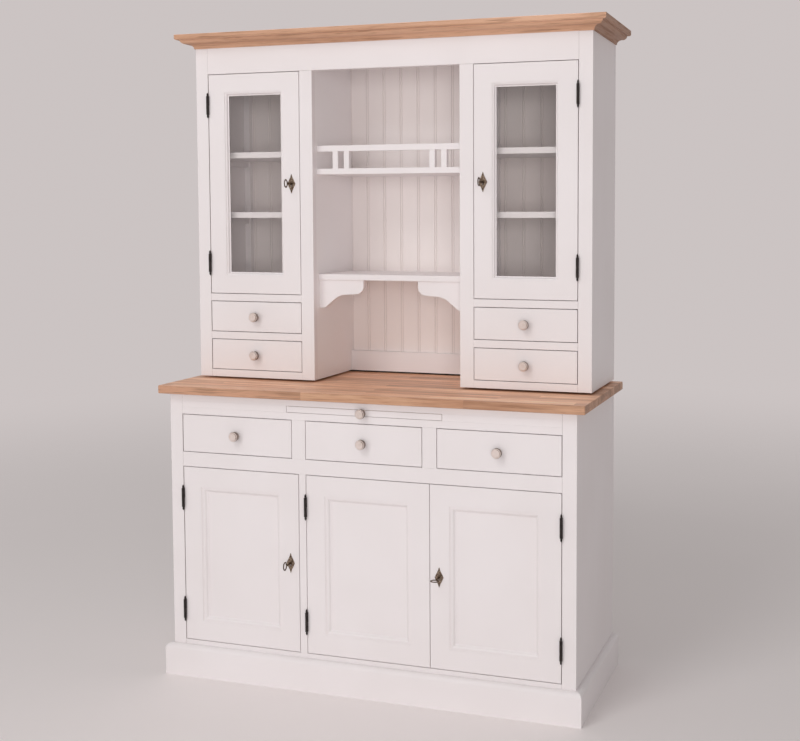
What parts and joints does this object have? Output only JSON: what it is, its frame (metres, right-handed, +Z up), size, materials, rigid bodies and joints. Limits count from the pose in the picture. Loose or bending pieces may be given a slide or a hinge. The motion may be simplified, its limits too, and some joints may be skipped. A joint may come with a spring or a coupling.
{
  "type": "buffet cabinet",
  "caption": "Country buffet cabinet: a base with panelled doors, drawers and a pull-out board under an oak top, and a hutch with glazed doors, small drawers, open niche and cornice.",
  "frame": {"origin": "centre of the bounding box at floor level, under the plinth", "axes": "+Z up, +Y towards the back, so the doors face -Y, and +X to the viewer's right"},
  "size_m": [1.392, 0.5274, 2],
  "materials": {
    "white_lacquer": "satin lacquer on wood, slightly warm white",
    "oiled_oak": "oiled oak staves",
    "clear_glass": "clear",
    "blackened_iron": "blackened, satin",
    "aged_brass": "patinated",
    "satin_nickel": "brushed nickel",
    "lock_steel": "zinc plated"
  },
  "bodies": {
    "root": {"plinth": "white_lacquer", "base_sides": "white_lacquer", "base_boards": "white_lacquer", "base_guides": "white_lacquer", "base_face_frame": "white_lacquer", "base_back": "white_lacquer", "worktop": "oiled_oak", "hutch_boards": "white_lacquer", "hutch_sides": "white_lacquer", "hutch_guides": "white_lacquer", "hutch_face_frame": "white_lacquer", "hutch_back": "white_lacquer", "niche_shelves": "white_lacquer", "gallery_rail": "white_lacquer", "scroll_brackets": "white_lacquer", "cornice": "oiled_oak", "frame_hinges": "blackened_iron"},
    "base_left_door": {"base_left_frame": "white_lacquer", "base_left_panel": "white_lacquer", "base_left_hinges": "blackened_iron", "base_left_lock": "aged_brass"},
    "base_middle_door": {"base_middle_frame": "white_lacquer", "base_middle_panel": "white_lacquer", "base_middle_hinges": "blackened_iron"},
    "base_right_door": {"base_right_frame": "white_lacquer", "base_right_panel": "white_lacquer", "base_right_hinges": "blackened_iron", "base_right_lock": "aged_brass"},
    "hutch_left_door": {"hutch_left_frame": "white_lacquer", "hutch_left_glass": "clear_glass", "hutch_left_hinges": "blackened_iron", "hutch_left_lock": "aged_brass"},
    "hutch_right_door": {"hutch_right_frame": "white_lacquer", "hutch_right_glass": "clear_glass", "hutch_right_hinges": "blackened_iron", "hutch_right_lock": "aged_brass"},
    "base_left_bolt": {"base_left_bolt": "lock_steel"},
    "base_left_key": {"base_left_key": "aged_brass"},
    "base_right_bolt": {"base_right_bolt": "lock_steel"},
    "base_right_key": {"base_right_key": "aged_brass"},
    "hutch_left_bolt": {"hutch_left_bolt": "lock_steel"},
    "hutch_left_key": {"hutch_left_key": "aged_brass"},
    "hutch_right_bolt": {"hutch_right_bolt": "lock_steel"},
    "hutch_right_key": {"hutch_right_key": "aged_brass"},
    "drawer_left": {"drawer_left": "white_lacquer", "drawer_left_knob": "satin_nickel"},
    "drawer_middle": {"drawer_middle": "white_lacquer", "drawer_middle_knob": "satin_nickel"},
    "drawer_right": {"drawer_right": "white_lacquer", "drawer_right_knob": "satin_nickel"},
    "small_drawer_left_low": {"small_drawer_left_low": "white_lacquer", "small_drawer_left_low_knob": "satin_nickel"},
    "small_drawer_left_high": {"small_drawer_left_high": "white_lacquer", "small_drawer_left_high_knob": "satin_nickel"},
    "small_drawer_right_low": {"small_drawer_right_low": "white_lacquer", "small_drawer_right_low_knob": "satin_nickel"},
    "small_drawer_right_high": {"small_drawer_right_high": "white_lacquer", "small_drawer_right_high_knob": "satin_nickel"},
    "pull_out_board": {"pull_out_board": "white_lacquer", "pull_out_knob": "satin_nickel"}
  },
  "joints": [
    {"name": "base_left_door_swing", "type": "hinge", "parent": "root", "child": "base_left_door", "pos_m": [-0.605, -0.22155, 0.38425], "axis": [0, 0, -1], "range_deg": [0, 170]},
    {"name": "base_middle_door_swing", "type": "hinge", "parent": "root", "child": "base_middle_door", "pos_m": [-0.186, -0.22155, 0.38425], "axis": [0, 0, -1], "range_deg": [0, 120]},
    {"name": "base_right_door_swing", "type": "hinge", "parent": "root", "child": "base_right_door", "pos_m": [0.605, -0.22155, 0.38425], "axis": [0, 0, 1], "range_deg": [0, 170]},
    {"name": "hutch_left_door_swing", "type": "hinge", "parent": "root", "child": "hutch_left_door", "pos_m": [-0.605, -0.04655, 1.53], "axis": [0, 0, -1], "range_deg": [0, 170]},
    {"name": "hutch_right_door_swing", "type": "hinge", "parent": "root", "child": "hutch_right_door", "pos_m": [0.605, -0.04655, 1.53], "axis": [0, 0, 1], "range_deg": [0, 170]},
    {"name": "drawer_left_slide", "type": "slide", "parent": "root", "child": "drawer_left", "axis": [0, -1, 0], "range_m": [0, 0.3]},
    {"name": "drawer_middle_slide", "type": "slide", "parent": "root", "child": "drawer_middle", "axis": [0, -1, 0], "range_m": [0, 0.3]},
    {"name": "drawer_right_slide", "type": "slide", "parent": "root", "child": "drawer_right", "axis": [0, -1, 0], "range_m": [0, 0.3]},
    {"name": "small_drawer_left_low_slide", "type": "slide", "parent": "root", "child": "small_drawer_left_low", "axis": [0, -1, 0], "range_m": [0, 0.18]},
    {"name": "small_drawer_left_high_slide", "type": "slide", "parent": "root", "child": "small_drawer_left_high", "axis": [0, -1, 0], "range_m": [0, 0.18]},
    {"name": "small_drawer_right_low_slide", "type": "slide", "parent": "root", "child": "small_drawer_right_low", "axis": [0, -1, 0], "range_m": [0, 0.18]},
    {"name": "small_drawer_right_high_slide", "type": "slide", "parent": "root", "child": "small_drawer_right_high", "axis": [0, -1, 0], "range_m": [0, 0.18]},
    {"name": "pull_out_board_slide", "type": "slide", "parent": "root", "child": "pull_out_board", "axis": [0, -1, 0], "range_m": [0, 0.25]},
    {"name": "base_left_key_turn", "type": "hinge", "parent": "base_left_door", "child": "base_left_key", "pos_m": [-0.2395, -0.21625, 0.38425], "axis": [0, 1, 0], "range_deg": [-4, 186]},
    {"name": "base_left_bolt_slide", "type": "slide", "parent": "base_left_door", "child": "base_left_bolt", "axis": [1, 0, 0], "range_m": [0, 0.009]},
    {"name": "base_right_key_turn", "type": "hinge", "parent": "base_right_door", "child": "base_right_key", "pos_m": [0.2385, -0.21625, 0.38425], "axis": [0, -1, 0], "range_deg": [-4, 186]},
    {"name": "base_right_bolt_slide", "type": "slide", "parent": "base_right_door", "child": "base_right_bolt", "axis": [-1, 0, 0], "range_m": [0, 0.009]},
    {"name": "hutch_left_key_turn", "type": "hinge", "parent": "hutch_left_door", "child": "hutch_left_key", "pos_m": [-0.315, -0.04125, 1.53], "axis": [0, 1, 0], "range_deg": [-4, 186]},
    {"name": "hutch_left_bolt_slide", "type": "slide", "parent": "hutch_left_door", "child": "hutch_left_bolt", "axis": [1, 0, 0], "range_m": [0, 0.009]},
    {"name": "hutch_right_key_turn", "type": "hinge", "parent": "hutch_right_door", "child": "hutch_right_key", "pos_m": [0.315, -0.04125, 1.53], "axis": [0, -1, 0], "range_deg": [-4, 186]},
    {"name": "hutch_right_bolt_slide", "type": "slide", "parent": "hutch_right_door", "child": "hutch_right_bolt", "axis": [-1, 0, 0], "range_m": [0, 0.009]}
  ],
  "couplings": [
    {"joint": "base_left_key_turn", "follows": "base_left_bolt_slide", "rad_per_m": 349.06},
    {"joint": "base_right_key_turn", "follows": "base_right_bolt_slide", "rad_per_m": 349.06},
    {"joint": "hutch_left_key_turn", "follows": "hutch_left_bolt_slide", "rad_per_m": 349.06},
    {"joint": "hutch_right_key_turn", "follows": "hutch_right_bolt_slide", "rad_per_m": 349.06}
  ]
}
